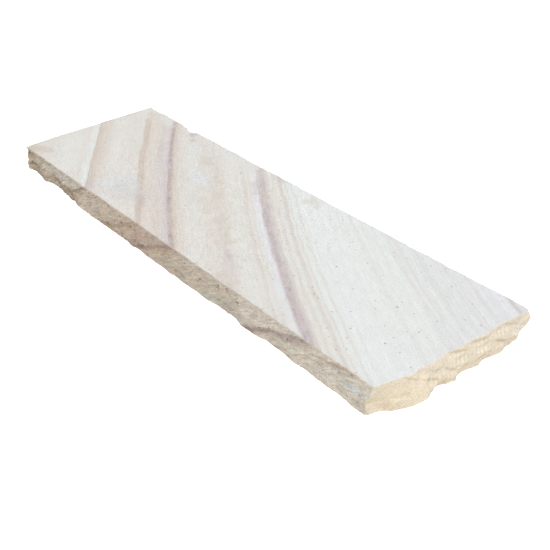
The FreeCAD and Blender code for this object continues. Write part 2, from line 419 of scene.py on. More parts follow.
def split_stone():
    """The whole strip: ragged split edges between two sawn faces, one closed piece."""
    bm = bmesh.new()
    rim_layer = bm.verts.layers.float.new("rim")
    first = outer_ring(bm)
    ring = first
    for height in HEIGHTS[1:]:
        ring = grow(bm, ring, height, rim_layer, 0.0)
    for vert in {vert for edge in ring + first for vert in edge.verts}:
        vert[rim_layer] = ARRIS
    sides = set(bm.faces)
    for rim in RIMS[1:]:
        ring = grow(bm, ring, THICK, rim_layer, rim)
        first = grow(bm, first, 0.0, rim_layer, rim)
    settle(bm, cad_surface(), rim_layer)
    rough = [vert for vert in bm.verts if vert[rim_layer] == 0]
    bmesh.ops.smooth_vert(bm, verts=rough, factor=0.25, use_axis_x=True, use_axis_y=True, use_axis_z=False)
    nibble(bm, rim_layer, random.Random(CHIP_SEED))
    for open_ring in (ring, first):
        bmesh.ops.triangle_fill(bm, edges=open_ring, use_beauty=True, use_dissolve=False)
    bmesh.ops.recalc_face_normals(bm, faces=bm.faces)
    for face in bm.faces:
        face.smooth = any(vert[rim_layer] < RIMS[-1] for vert in face.verts)
        face.material_index = 1 if face in sides or abs(face.normal.z) < 0.9 else 0
    bmesh.ops.scale(bm, vec=(MM,) * 3, verts=bm.verts)
    mesh = bpy.data.meshes.new("split_stone")
    bm.to_mesh(mesh)
    bm.free()
    mesh.set_sharp_from_angle(angle=SHARP_ANGLE)
    piece = bpy.data.objects.new("split_stone", mesh)
    bpy.context.scene.collection.objects.link(piece)
    return piece


# Finishes


# The studio light is stronger than white paper needs, so the stone's own colours are this much
# darker than they look. The upright split faces also catch the light that the paper throws up.
SHOWN = 0.75
SPLIT_SHOWN = 0.605


def srgb(red, green, blue, shown=SHOWN):
    """A colour as the lit stone shows it, 0 to 255, made the linear colour of its surface."""
    seen = [value / 255 for value in (red, green, blue)]
    return tuple(shown * ((c + 0.055) / 1.055) ** 2.4 for c in seen) + (1.0,)


def put(tree, kind, inputs=(), **settings):
    """A node with its settings made and its inputs linked or filled in."""
    made = tree.nodes.new(kind)
    for name, value in settings.items():
        setattr(made, name, value)
    for socket, value in dict(inputs).items():
        if isinstance(value, bpy.types.NodeSocket):
            tree.links.new(value, made.inputs[socket])
        else:
            made.inputs[socket].default_value = value
    return made


def maths(tree, operation, *values):
    return put(tree, "ShaderNodeMath", enumerate(values), operation=operation).outputs[0]


def times(tree, product, *others):
    for other in others:
        product = maths(tree, "MULTIPLY", product, other)
    return product


def plus(tree, total, *others):
    for other in others:
        total = maths(tree, "ADD", total, other)
    return total


def vector(tree, operation, *values):
    made = put(tree, "ShaderNodeVectorMath", enumerate(values), operation=operation)
    return made.outputs[1] if operation in ("DOT_PRODUCT", "LENGTH") else made.outputs[0]


def blend(tree, share, under, over, how="MIX"):
    """One colour laid over another by a share from 0 to 1."""
    return put(tree, "ShaderNodeMix", {0: share, 6: under, 7: over},
               data_type="RGBA", blend_type=how).outputs[2]


def lay(tree, color, tone, *shares):
    """A tone laid over a colour by the product of some shares."""
    return blend(tree, times(tree, *shares), color, tone)


def cloud(tree, place, scale, detail=2.0, roughness=0.5):
    """Noise from 0 to 1."""
    return put(tree, "ShaderNodeTexNoise", {
        "Vector": place, "Scale": scale, "Detail": detail, "Roughness": roughness}).outputs[0]


def squeeze(tree, bed, along, across):
    """A place in the bed frame, counted in steps of these lengths along and across the bedding."""
    return put(tree, "ShaderNodeMapping", {0: bed, 3: (1 / along, 1 / along, 1 / across)}).outputs[0]


def ease(tree, value, start, end, low=0.0, high=1.0):
    """An S curve from low at start to high at end."""
    return put(tree, "ShaderNodeMapRange", {0: value, 1: start, 2: end, 3: low, 4: high},
               interpolation_type="SMOOTHSTEP").outputs[0]


def group(name, inputs, outputs):
    """An empty node group with named sockets, and its two end nodes."""
    tree = bpy.data.node_groups.new(name, "ShaderNodeTree")
    for label, kind, value in inputs:
        socket = tree.interface.new_socket(label, in_out="INPUT", socket_type=f"NodeSocket{kind}")
        if value is not None:
            socket.default_value = value
    for label, kind in outputs:
        tree.interface.new_socket(label, in_out="OUTPUT", socket_type=f"NodeSocket{kind}")
    return tree, tree.nodes.new("NodeGroupInput").outputs, tree.nodes.new("NodeGroupOutput").inputs


def use(tree, made, inputs=()):
    """A node group placed in a tree with its own values."""
    return put(tree, "ShaderNodeGroup", inputs, node_tree=made).outputs


# Tones of the stone as the sawn face shows them
TONES = {
    "cream": srgb(226, 224, 219),
    "warm": srgb(221, 212, 203),
    "butter": srgb(227, 227, 221),
    "cool": srgb(230, 234, 232),
    "white": srgb(232, 236, 236),
    "ice": srgb(229, 231, 236),
    "beige": srgb(217, 210, 203),
    "olive": srgb(216, 210, 199),
    "tan": srgb(211, 198, 186),
    "rose": srgb(211, 198, 185),
    "lilac": srgb(210, 200, 198),
    "plum": srgb(192, 176, 172),
    "haze": srgb(222, 222, 222),
    "grape": srgb(198, 186, 189),
    "mist": srgb(226, 228, 230),
}
# The bands in the order that they cross the stone: millimetres across the bedding, tone, and how
# much of it there is in the cream
STRATA = [
    (-246, "tan", 0.8), (-240, "tan", 0.42), (-232, "warm", 0.35), (-222, "warm", 0.25),
    (-210, "cream", 1), (-192, "butter", 1), (-180, "cream", 1), (-177.5, "tan", 0.2), (-175, "cream", 1),
    (-171, "cool", 0.7), (-166.3, "cool", 0.9), (-164.6, "rose", 1.08), (-161.5, "rose", 0.97),
    (-157, "rose", 0.62), (-151, "warm", 0.9), (-145, "warm", 0.25), (-141, "cream", 1),
    (-136, "butter", 0.7), (-126, "warm", 0.15), (-110, "warm", 0.25), (-107.4, "warm", 0.25),
    (-105.2, "tan", 0.95), (-100, "tan", 1.05), (-97, "warm", 1.0), (-94, "warm", 0.75),
    (-88, "warm", 0.9), (-83, "beige", 1.05), (-77, "lilac", 0.65), (-74, "lilac", 0.9),
    (-71.8, "lilac", 1), (-70.4, "plum", 0.85), (-67.6, "plum", 0.9), (-65.6, "tan", 1.05),
    (-61, "warm", 1.0), (-54, "warm", 0.35), (-48, "butter", 0.5), (-40, "cream", 1), (-31, "warm", 0.4),
    (-25, "warm", 0.35), (-18, "beige", 0.5), (-12, "warm", 0.5), (-4, "butter", 0.6), (4, "butter", 0.8),
    (6.5, "tan", 0.12), (8.6, "butter", 0.6), (11.4, "tan", 0.3), (13.4, "tan", 0.5), (15, "cream", 1),
    (18.5, "beige", 0.3), (21.5, "ice", 0.6), (25.8, "ice", 1), (27.6, "grape", 0.65),
    (29.2, "grape", 0.88), (34, "grape", 0.82), (36.2, "lilac", 0.9), (38.4, "olive", 0.8),
    (40.2, "cream", 1), (42.4, "cream", 1), (44, "olive", 0.7), (45.6, "cream", 1), (48.5, "cool", 0.5),
    (50.6, "beige", 0.5), (52.6, "beige", 1.1), (54.4, "cream", 0.9), (56, "cool", 0.6),
    (57.6, "olive", 0.4), (59.2, "cool", 1), (62.6, "cool", 0.9), (64.4, "olive", 0.25),
    (66.2, "cool", 1), (72, "white", 0.85), (90, "white", 0.85), (93, "cool", 0.9), (97, "white", 0.8),
    (108, "cool", 0.9), (112, "mist", 0.6), (115, "cool", 1), (126, "white", 0.6), (131, "cool", 1),
    (135, "mist", 0.8), (137.5, "haze", 0.5), (140, "cool", 0.8), (142.5, "haze", 0.7),
    (144.5, "mist", 0.8), (149, "cool", 0.8), (152.5, "mist", 0.9), (154.5, "haze", 0.75),
    (156.5, "cool", 0.6), (161, "mist", 1.0), (163, "ice", 0.7), (168, "mist", 0.9), (171, "haze", 0.6),
    (172.4, "ice", 0.8), (174, "haze", 0.85), (176, "ice", 0.8), (181, "mist", 0.9), (184, "haze", 0.5),
    (187, "mist", 0.9), (189, "ice", 1.0), (193, "mist", 1.0), (197, "ice", 0.95), (202.5, "ice", 0.95),
    (203.4, "haze", 0.8), (205.6, "grape", 0.65), (208, "haze", 0.9), (216, "ice", 1),
]
KNOT_TONE = srgb(162, 144, 148)
# A colour ramp holds 32 stops at most, so the bands are shared out over several ramps
RAMP_STOPS = 28


def stratum(tone, share):
    """The cream, gone this far towards a tone."""
    return tuple(under + (over - under) * share for under, over in zip(TONES["cream"], TONES[tone]))


def banded(tree, across):
    """The colour of the bands at a distance across the bedding."""
    color = None
    for start in range(0, len(STRATA) - 1, RAMP_STOPS):
        stops = STRATA[start:start + RAMP_STOPS + 1]
        run = strata_ramp(tree, across, stops)
        past = maths(tree, "GREATER_THAN", across, float(stops[0][0]))
        color = run if color is None else blend(tree, past, color, run)
    return color


def strata_ramp(tree, across, stops):
    """One colour ramp over a run of the strata."""
    first, last = stops[0][0], stops[-1][0]
    share = put(tree, "ShaderNodeMapRange", {0: across, 1: first, 2: last}).outputs[0]
    ramp = put(tree, "ShaderNodeValToRGB", {0: share})
    bar = ramp.color_ramp.elements
    bar[0].color, bar[1].color = stratum(*stops[0][1:]), stratum(*stops[-1][1:])
    for place, tone, amount in stops[1:-1]:
        bar.new((place - first) / (last - first)).color = stratum(tone, amount)
    return ramp.outputs[0]


def bedding_group():
    """The banded stone: its colour, the bed frame for finer marks, and the place across the bands."""
    tree, given, result = group("bedding", [("Vector", "Vector", None), ("Wander", "Float", 1.0)],
                                [("Color", "Color"), ("Bed", "Vector"), ("Across", "Float")])
    place = given["Vector"]
    x = put(tree, "ShaderNodeSeparateXYZ", {0: place}).outputs[0]
    flat = vector(tree, "DOT_PRODUCT", place, Vector((BED_SLOPE, 1.0, -BED_DIP)) / MM)
    bend = times(tree, x, x, -BED_CURVE / MM / MM)
    across = plus(tree, flat, BED_DIP * THICK, bend)
    along = vector(tree, "DOT_PRODUCT", place, ALONG / MM)
    down = vector(tree, "DOT_PRODUCT", place, DOWN / MM)
    thick = maths(tree, "DIVIDE", across, BED_STEEPNESS)
    bed = put(tree, "ShaderNodeCombineXYZ", {0: along, 1: down, 2: thick}).outputs[0]
    # The bands wander, slowly over the whole stone and more quickly along the bedding
    slow = maths(tree, "SUBTRACT", cloud(tree, bed, 1 / 55, 2.0), 0.5)
    quick = maths(tree, "SUBTRACT", cloud(tree, squeeze(tree, bed, 16, 6), 1.0, 3.0), 0.5)
    shift = plus(tree, times(tree, slow, 6.0), times(tree, quick, 2.6))
    wandered = maths(tree, "MULTIPLY_ADD", shift, given["Wander"], across)
    color = banded(tree, wandered)
    # Knots along the dark seams, one every 12 to 20 mm, and grit between them
    grey = put(tree, "ShaderNodeRGBToBW", {0: color}).outputs[0]
    seam = put(tree, "ShaderNodeMapRange", {0: grey, 1: 0.685 * SHOWN, 2: 0.47 * SHOWN}).outputs[0]
    core = ease(tree, seam, 0.35, 0.9)
    knot = ease(tree, cloud(tree, squeeze(tree, bed, 9, 2.6), 1.0, 4.0, 0.7), 0.45, 0.66)
    grit = ease(tree, cloud(tree, place, 1 / (1.8 * MM), 2.0, 0.6), 0.5, 0.66)
    color = lay(tree, color, KNOT_TONE, knot, core, 0.55)
    color = lay(tree, color, KNOT_TONE, grit, core, 0.3)
    # Thin streaks between the bands, plainest towards the right end
    thin = squeeze(tree, bed, 100, 1.9)
    streak = ease(tree, cloud(tree, thin, 1.0, 2.0, 0.7), 0.46, 0.66)
    plain = ease(tree, wandered, 115, 150, 0.45, 1.15)
    color = lay(tree, color, TONES["haze"], streak, plain, 0.6)
    others = vector(tree, "ADD", thin, Vector((7.3, 2.1, 5.9)))
    pale = ease(tree, cloud(tree, others, 1.0, 3.0, 0.6), 0.5, 0.75)
    color = lay(tree, color, TONES["white"], pale, 0.3)
    for name, made in (("Color", color), ("Bed", bed), ("Across", wandered)):
        tree.links.new(made, result[name])
    return tree


def grain_group():
    """Sand grains and the fine lines of the lamination: a tint to multiply by, and a height."""
    tree, given, result = group(
        "sand_grain",
        [("Vector", "Vector", None), ("Bed", "Vector", None), ("Grain Size", "Float", 0.7),
         ("Grain", "Float", 0.2), ("Lines", "Float", 0.1), ("Line Length", "Float", 13.0),
         ("Blotch", "Float", 0.1), ("Color Share", "Float", 0.1)],
        [("Tint", "Color"), ("Height", "Float")])
    place = given["Vector"]
    frequency = maths(tree, "DIVIDE", 1 / MM, given["Grain Size"])
    short = maths(tree, "DIVIDE", 1.0, given["Line Length"])
    fineness = put(tree, "ShaderNodeCombineXYZ", {0: short, 1: short, 2: 0.95}).outputs[0]
    lines = vector(tree, "MULTIPLY", given["Bed"], fineness)
    heights = []
    tint = Vector((1, 1, 1))
    layers = [(place, frequency, 2.0, given["Grain"]), (lines, 1.0, 3.0, given["Lines"]),
              (place, 1 / (9 * MM), 3.0, given["Blotch"])]
    for spot, scale, detail, amount in layers:
        speckle = put(tree, "ShaderNodeTexNoise", {
            "Vector": spot, "Scale": scale, "Detail": detail, "Roughness": 0.6}).outputs
        tone = blend(tree, given["Color Share"], speckle[0], speckle[1])
        away = vector(tree, "SUBTRACT", tone, Vector((0.5, 0.5, 0.5)))
        part = put(tree, "ShaderNodeVectorMath", {0: away, 3: amount}, operation="SCALE").outputs[0]
        tint = vector(tree, "ADD", part, tint)
        heights.append(speckle[0])
    tree.links.new(tint, result["Tint"])
    tree.links.new(heights[0], result["Height"])
    return tree


def specks_group(name, dimensions):
    """Small dark iron specks, one in some of the cells of a loose grid."""
    tree, given, result = group(name, [("Vector", "Vector", None), ("Spacing", "Float", 9.0),
                                       ("Share", "Float", 0.4), ("Size", "Float", 0.6)],
                                [("Mask", "Float")])
    fineness = maths(tree, "DIVIDE", 1 / MM, given["Spacing"])
    cells = put(tree, "ShaderNodeTexVoronoi", {"Vector": given["Vector"], "Scale": fineness},
                voronoi_dimensions=dimensions).outputs
    chance = put(tree, "ShaderNodeSeparateColor", {0: cells["Color"]}).outputs
    far = times(tree, cells["Distance"], given["Spacing"])
    size = times(tree, given["Size"], maths(tree, "MULTIPLY_ADD", chance[1], 0.9, 0.4))
    inside = ease(tree, maths(tree, "DIVIDE", far, size), 1.25, 0.75)
    picked = maths(tree, "LESS_THAN", chance[0], given["Share"])
    tree.links.new(times(tree, inside, picked), result["Mask"])
    return tree


def patch_group():
    """An oval patch with a ragged edge."""
    tree, given, result = group(
        "patch",
        [("Vector", "Vector", None), ("Middle", "Vector", None), ("Half Size", "Vector", None),
         ("Turn", "Vector", None), ("Ragged", "Float", 0.5), ("Tatter Size", "Float", 5.0)],
        [("Mask", "Float")])
    away = vector(tree, "SUBTRACT", given["Vector"], given["Middle"])
    turned = put(tree, "ShaderNodeVectorRotate", {"Vector": away, "Rotation": given["Turn"]},
                 rotation_type="EULER_XYZ").outputs[0]
    far = vector(tree, "LENGTH", vector(tree, "DIVIDE", turned, given["Half Size"]))
    fineness = maths(tree, "DIVIDE", 1 / MM, given["Tatter Size"])
    rag = maths(tree, "SUBTRACT", cloud(tree, given["Vector"], fineness, 4.0, 0.65), 0.5)
    edge = maths(tree, "MULTIPLY_ADD", rag, times(tree, given["Ragged"], 3.0), far)
    tree.links.new(ease(tree, edge, 1.15, 0.35), result["Mask"])
    return tree


# Where the patches of the front edge and of the right end have their middles, and how far they
# reach into the stone. Those of the sawn face go right through.
FRONT_PLANE, END_PLANE = -77.0, 283.0
REACH, THROUGH = 30.0, 1000.0


def patch(tree, groups, place, middle, half_size, turn, ragged=0.5, tatter=5.0):
    """The mask of one patch, with its sizes in millimetres and its turn in degrees."""
    return use(tree, groups["patch"], {
        "Vector": place, "Middle": Vector(middle) * MM, "Half Size": Vector(half_size) * MM,
        "Turn": [math.radians(angle) for angle in turn], "Ragged": ragged, "Tatter Size": tatter})["Mask"]


def top_patch(tree, groups, place, middle, half_size, turn=0.0, *edge):
    """A patch of the sawn face."""
    return patch(tree, groups, place, (*middle, THICK), (*half_size, THROUGH), (0, 0, -turn), *edge)


def front_patch(tree, groups, place, middle, half_size, rise, ragged):
    """A patch of the front edge."""
    (x, height), (wide, high) = middle, half_size
    return patch(tree, groups, place, (x, FRONT_PLANE, height), (wide, REACH, high), (0, rise, 0), ragged)


def end_patch(tree, groups, place, middle, half_size, rise, ragged):
    """A patch of the right end."""
    (y, height), (wide, high) = middle, half_size
    return patch(tree, groups, place, (END_PLANE, y, height), (REACH, wide, high), (-rise, 0, 0), ragged)


# Scuffs on the sawn face in millimetres: middle, half sizes, turn in degrees and strength
SCUFFS = [
    ((-150, 50), (9, 12), 30, 0.55), ((-81, 17), (11, 10), 20, 0.6), ((-139, -48), (16, 19), 0, 0.6),
    ((-118, -38), (20, 9), -20, 0.4), ((-120, 70), (11, 8), 0, 0.5), ((-98, 22), (18, 7), -10, 0.4),
    ((-100, 68), (15, 8), 0, 0.3), ((-112, -58), (20, 10), -25, 0.3), ((-158, 22), (52, 4), -31, 0.25),
]
# Stains in the same way, with their tone before their strength
STAINS = [
    ((-18, -6), (90, 14), -29.5, "rust", 0.17), ((-115, 43), (16, 8), -25, "rust", 0.3),
    ((-84, 33), (14, 6), -30, "rust", 0.22), ((-45, 8), (11, 6), -30, "rust", 0.25),
    ((2, -18), (15, 7), -30, "rust", 0.2), ((52, -44), (12, 3), -20, "bruise", 0.35),
    ((58, -49), (9, 5), -60, "bruise", 0.25), ((74, -55), (24, 10), -25, "bruise", 0.2),
    ((92, -71), (24, 7), -5, "rust", 0.35), ((30, -34), (18, 8), -30, "rust", 0.2),
    ((-270, -69), (24, 10), 20, "rust", 0.6), ((-283, 53), (9, 12), 0, "rust", 0.5),
    ((-182, 69), (16, 4), -34, "bruise", 0.65), ((-280, 71), (32, 16), -30, "cream", 0.9),
    ((-240, 76), (30, 14), -30, "cream", 0.9), ((-86, 75), (34, 15), -30, "cream", 0.9),
    ((-87, -47), (19, 5), -34, "bruise", 0.5), ((-150, 16), (56, 8), -30.5, "bruise", 0.16),
    ((-178, 30), (16, 7), -30, "bruise", 0.22), ((-38, 72), (16, 4), -5, "bruise", 0.35),
    ((-150, -69), (9, 6), -30, "bruise", 0.4), ((-37, 48), (19, 4.0), -39, "bruise", 0.35),
    ((-17, 43), (15, 6), -34, "rust", 0.4), ((27, 64), (14, 8), -30, "rust", 0.35),
    ((-104, -52), (30, 12), -30, "cream", 0.3), ((134, -54), (28, 10), -30, "pale", 0.3),
]
STAIN_TONES = {"rust": srgb(208, 196, 182), "bruise": srgb(198, 182, 184), "cream": TONES["cream"],
               "pale": TONES["ice"]}
SCUFF_TONE, CRUMB_TONE = srgb(229, 233, 237), srgb(190, 184, 188)
# Single specks by their tone: x, y and radius
SPOTS = {
    "rust": [
        (-28, 64, 1.1), (4, 46, 1.0), (62, 15, 1.0), (132, 9, 1.3), (211, 5, 1.4), (154, -31, 1.0),
        (183, -36, 1.0), (210, -40, 1.2), (242, -34, 1.2), (218, -50, 1.0), (198, -53, 1.0),
    ],
    "ochre": [(65, -71, 1.5)],
    "chalk": [(73, -67, 1.2), (-108, -8, 1.3)],
    "iron": [
        (-70, 53, 0.8), (-119, 49, 0.8), (-131, 45, 0.8), (-31, -16, 0.8), (-55, 13, 0.8), (13, -39, 0.8),
        (80, -31, 0.8), (108, -67, 0.9), (49, -73, 1.0), (109, 45, 0.8), (54, 44, 0.8), (146, 58, 0.9),
        (182, 66, 0.8), (204, 42, 0.8), (168, -3, 0.8), (226, 8, 0.9), (245, 14, 0.9), (247, -6, 1.0),
        (245, 50, 0.9), (270, 34, 1.0), (276, -40, 0.9), (229, -59, 0.8), (126, -33, 0.8),
        (151, -68, 0.8), (-229, -57, 0.7), (-166, -55, 0.8), (-108, -51, 0.8),
    ],
}
SPOT_TONES = {"rust": srgb(176, 154, 140), "iron": srgb(150, 140, 138), "ochre": srgb(214, 176, 128),
              "chalk": srgb(240, 240, 240)}
# Where the saw marks show: middle, half sizes and strength
SAWN_IN = [((-112, -47), (42, 27), 1.0), ((-128, 6), (26, 16), 0.5), ((-60, -8), (30, 14), 0.35)]
SAW_TONE = srgb(198, 194, 192)
# The saw marks are this far apart and turned this many degrees. Blender's wave repeats about every
# 0.32 units at scale 1.
SAW_PITCH, SAW_TURN, WAVE_REPEAT = 2.4, -35.6, 1 / 3.142


def finish_material(name, roughness, bump_distance):
    """A material with its shader and bump in place, and the tree to build its colour in."""
    material = bpy.data.materials.new(name)
    material.use_nodes = True
    tree = material.node_tree
    shader = tree.nodes["Principled BSDF"]
    shader.inputs["Roughness"].default_value = roughness
    shader.inputs["Specular IOR Level"].default_value = 0.25
    bump = put(tree, "ShaderNodeBump", {"Strength": 1.0, "Distance": bump_distance})
    tree.links.new(bump.outputs[0], shader.inputs["Normal"])
    place = put(tree, "ShaderNodeTexCoord").outputs["Object"]
    return material, tree, shader.inputs, bump.inputs, place


def sawn_material(groups):
    """The sawn faces: smooth, pale and banded, with specks, scuffs and faint saw marks."""
    material, tree, shader, bump, place = finish_material("sawn sandstone", 0.82, 0.0002)
    bed = use(tree, groups["bedding"], {"Vector": place})
    along = put(tree, "ShaderNodeSeparateXYZ", {0: place}).outputs[0]
    middle = times(tree, ease(tree, along, -0.23, -0.16), ease(tree, along, 0.16, 0.02))
    grain = use(tree, groups["grain"], {
        "Vector": place, "Bed": bed["Bed"], "Grain Size": 1.2, "Line Length": 14.0, "Blotch": 0.1,
        "Color Share": 0.2, "Grain": maths(tree, "MULTIPLY_ADD", middle, 0.5, 0.52),
        "Lines": maths(tree, "MULTIPLY_ADD", middle, 0.12, 0.2)})
    mottle = ease(tree, cloud(tree, place, 1 / (24 * MM), 3.0, 0.55), 0.35, 0.75)
    faded = ease(tree, bed["Across"], 40.0, 70.0, 0.3, 0.1)
    color = lay(tree, bed["Color"], TONES["warm"], mottle, faded)
    color = blend(tree, 1.0, color, grain["Tint"], "MULTIPLY")
    for spot, half_size, turn, tone, strength in STAINS:
        mask = top_patch(tree, groups, place, spot, half_size, turn, 1.0, 9.0)
        color = lay(tree, color, STAIN_TONES[tone], mask, strength)
    scuffed = 0.0
    crumbs = ease(tree, cloud(tree, place, 1 / (2.6 * MM), 3.0, 0.7), 0.48, 0.64, 0.0, 0.85)
    for spot, half_size, turn, strength in SCUFFS:
        share = times(tree, top_patch(tree, groups, place, spot, half_size, turn, 1.5, 7.0), strength)
        color = lay(tree, color, SCUFF_TONE, share)
        color = lay(tree, color, CRUMB_TONE, share, crumbs)
        scuffed = maths(tree, "MAXIMUM", scuffed, share)
    specks = use(tree, groups["flat specks"], {
        "Vector": place, "Spacing": 8.0, "Share": 0.2, "Size": 0.62})["Mask"]
    color = lay(tree, color, SPOT_TONES["iron"], specks, 0.45)
    pits = specks
    for tone, spots in SPOTS.items():
        for x, y, radius in spots:
            mask = top_patch(tree, groups, place, (x, y), (radius, radius), 0.0, 0.15)
            color = lay(tree, color, SPOT_TONES[tone], mask, 0.62)
            pits = maths(tree, "MAXIMUM", pits, mask)
    # Saw marks, strongest where the blade came in
    swept = put(tree, "ShaderNodeMapping", {0: place, 2: (0, 0, math.radians(SAW_TURN))}).outputs[0]
    marks = put(tree, "ShaderNodeTexWave", {
        "Vector": swept, "Scale": WAVE_REPEAT / (SAW_PITCH * MM), "Distortion": 1.5,
        "Detail": 1.0}).outputs[1]
    blade = 0.0
    for spot, half_size, strength in SAWN_IN:
        mask = top_patch(tree, groups, place, spot, half_size)
        blade = maths(tree, "MAXIMUM", blade, times(tree, mask, strength))
    tree.links.new(lay(tree, color, SAW_TONE, marks, blade, 0.36), shader["Base Color"])
    ripple = times(tree, marks, maths(tree, "MULTIPLY_ADD", blade, 0.9, 0.12))
    height = plus(tree, times(tree, grain["Height"], 0.5), ripple)
    height = maths(tree, "SUBTRACT", height, times(tree, pits, 0.9))
    height = maths(tree, "SUBTRACT", height, times(tree, scuffed, 0.5))
    tree.links.new(height, bump["Height"])
    return material


# Marks on the front edge in millimetres: place, height, half length, half height, rise in degrees,
# tone and strength. Most are stains and tones of the stone itself. The brown lines at -188 and -162
# follow a band seam and are also painted shadow under the ledge there; the darker patches low on the
# left corner, at -232 and -256, are partly brown stone and partly painted shade of its undercut; the
# pale patch at -201 is partly pale grey stone and partly painted light on the facet above that ledge,
# which faces up; the pale patch at 271.5 is a worn pale arris and also painted light over the shade
# of the corner facet.
FRONT_STAINS_AND_PAINTED_SHADING = [
    (-201, 19.0, 46, 5.6, 0, (229, 223, 211), 0.9), (-268, 19, 14, 6, -10, (206, 180, 156), 0.5),
    (-232, 8, 35, 4, 5, (190, 172, 144), 0.5), (-188, 10.5, 26, 2.2, 9, (184, 154, 128), 0.4),
    (-162, 18.5, 14, 2.0, 26, (192, 162, 138), 0.35), (-256, 9, 24, 7, 8, (204, 188, 160), 0.35),
    (-172, 7, 20, 6, 14, (204, 180, 150), 0.6), (-76, 12, 9, 9, 20, (206, 184, 168), 0.4),
    (-45, 14, 16, 5, 18, (222, 196, 184), 0.6), (-62, 3.2, 15, 2.4, 15, (194, 164, 146), 0.4),
    (70, 3, 25, 3, 6, (226, 226, 210), 0.6), (103, 8, 13, 3, 14, (228, 228, 212), 0.5),
    (259.5, 14.3, 17, 3.3, 2, (246, 248, 246), 1.0), (189, 11.5, 5, 1.4, 10, (248, 248, 246), 0.8),
    (132, 16, 24, 7, 16, (253, 241, 229), 0.7), (232, 21.5, 22, 1.3, 8, (206, 180, 154), 0.5),
    (250, 24, 14, 1.5, 0, (216, 192, 166), 0.5), (128, 2.5, 10, 2.5, 10, (206, 182, 166), 0.6),
    (22, 9, 24, 4, 18, (226, 200, 174), 0.25), (-108, 3.5, 18, 2.4, 14, (198, 172, 154), 0.5),
    (-136, 12, 15, 4, 10, (250, 238, 212), 0.55), (30, 19, 22, 4, 10, (248, 234, 214), 0.4),
    (148, 8.6, 24, 2.2, 18, (210, 184, 172), 0.35), (186, 20.2, 26, 2.4, 14, (210, 184, 174), 0.35),
    (271.5, 20, 6, 5, 0, (252, 246, 234), 0.6), (250, 6, 24, 6, 4, (254, 243, 226), 0.6),
]
# Marks on the right end in the same way, with their place along y. The thin brown lines just under
# the ledges are partly iron stain and partly painted shade under their overhangs; the pale patches on
# the scales between the ledges are painted light, where those faces tilt up to the key.
END_STAINS_AND_PAINTED_SHADING = [
    (-45, 21.5, 13, 1.3, -27, (208, 178, 138), 0.65), (-20, 9, 22, 1.6, -25.5, (214, 188, 150), 0.6),
    (1, 22.8, 12, 1.3, -15, (214, 188, 152), 0.7), (23, 22.8, 13, 1.5, -6, (214, 188, 152), 0.6),
    (-8, 12.5, 11, 1.1, -30, (212, 184, 146), 0.7), (8, 6.6, 9, 1.2, 3, (208, 180, 144), 0.8),
    (28, 8.2, 10, 1.3, 4, (208, 180, 144), 0.8), (45, 12.2, 9, 1.3, -24, (206, 178, 146), 0.8),
    (58, 20.5, 14, 1.5, -21, (214, 188, 158), 0.55), (-70, 9, 22, 5.0, -14, (234, 212, 174), 0.45),
    (-55, 0.5, 24, 2.2, -20, (230, 206, 168), 0.5), (-35, 16, 12, 4, -27, (250, 238, 214), 0.5),
    (2, 15, 12, 4.2, -29, (253, 243, 222), 0.9), (25, 14.6, 12, 4.2, -27, (253, 243, 222), 0.9),
    (-17, 12, 14, 5, -27, (248, 236, 212), 0.5), (63, 17, 7, 3, -15, (248, 236, 216), 0.5),
    (61, 14, 13, 8, -15, (248, 238, 222), 0.6), (50, 7, 14, 3.5, 12, (232, 208, 182), 0.5),
    (37, 6, 14, 2.6, 0, (238, 218, 192), 0.5), (14, 4.5, 9, 2.6, 0, (240, 222, 196), 0.5),
    (-52, 12, 36, 12, -14, (255, 240, 208), 0.6),
]
# The gap between the hackles in metres, and where along them the wave starts
HACKLE_GAP = 0.0039
HACKLE_START = 5.3


